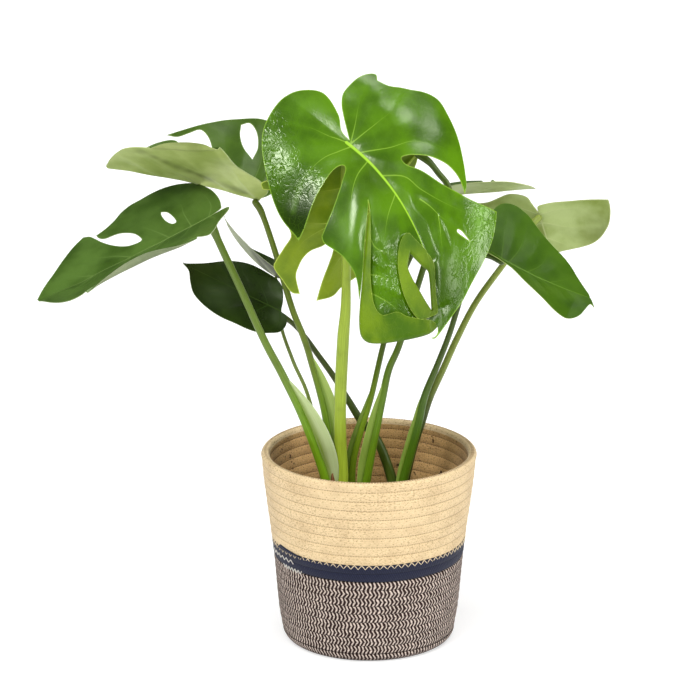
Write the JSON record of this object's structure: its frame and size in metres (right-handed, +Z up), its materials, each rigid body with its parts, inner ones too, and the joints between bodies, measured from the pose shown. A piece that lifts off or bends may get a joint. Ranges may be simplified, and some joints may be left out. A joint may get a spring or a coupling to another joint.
{
  "type": "potted monstera plant in a coiled rope basket",
  "caption": "Young split-leaf monstera in a nursery pot, standing inside a tapered coiled rope basket with a dark band and a zigzag lower part.",
  "frame": {"origin": "centre of the basket's flat underside", "axes": "+Z up along the basket's axis, -Y towards the front, +X to the right seen from the front"},
  "size_m": [0.5992, 0.2706, 0.5995],
  "materials": {
    "jute_rope": "sewn coils of natural jute rope, sandy, matte and fibrous",
    "navy_rope": "sewn coils of navy rope with tan edge stitches, matte",
    "two_tone_rope": "cream and dark brown plaited coils that form zigzags, matte",
    "pot_plastic": "black nursery-pot plastic, slightly rough",
    "soil": "dark crumbly potting mix",
    "crown_bark": "short stem with olive skin and brown scars",
    "dry_sheath": "dry brown papery leaf sheath",
    "stalk_green": "smooth green leaf stalk, faintly speckled, satin",
    "leaf_bright": "bright green leaf with a yellow-green midrib, glossy above",
    "leaf_mid": "mid green leaf, glossy above and paler below",
    "leaf_dark": "dark green leaf, satin",
    "leaf_pale": "leaf seen mostly from its pale underside, satin",
    "leaf_young": "young yellow-green leaf, satin"
  },
  "bodies": {
    "root": {"basket_base": "two_tone_rope", "basket_patterned_wall": "two_tone_rope", "basket_navy_band": "navy_rope", "basket_jute_wall": "jute_rope", "nursery_pot": "pot_plastic", "potting_soil": "soil", "crown_left": "crown_bark", "crown_middle": "crown_bark", "crown_right": "crown_bark", "dry_sheath": "dry_sheath", "stalk_front": "stalk_green", "stalk_left": "stalk_green", "stalk_back_left": "stalk_green", "stalk_low_left": "stalk_green", "stalk_spear": "stalk_green", "stalk_right": "stalk_green", "stalk_far_right": "stalk_green", "stalk_behind": "stalk_green", "stalk_back_right": "stalk_green", "blade_front": "leaf_bright", "blade_left": "leaf_mid", "blade_back_left": "leaf_mid", "blade_low_left": "leaf_dark", "blade_spear": "leaf_dark", "blade_right": "leaf_mid", "blade_far_right": "leaf_pale", "blade_behind": "leaf_young", "blade_back_right": "leaf_pale"}
  },
  "joints": []
}
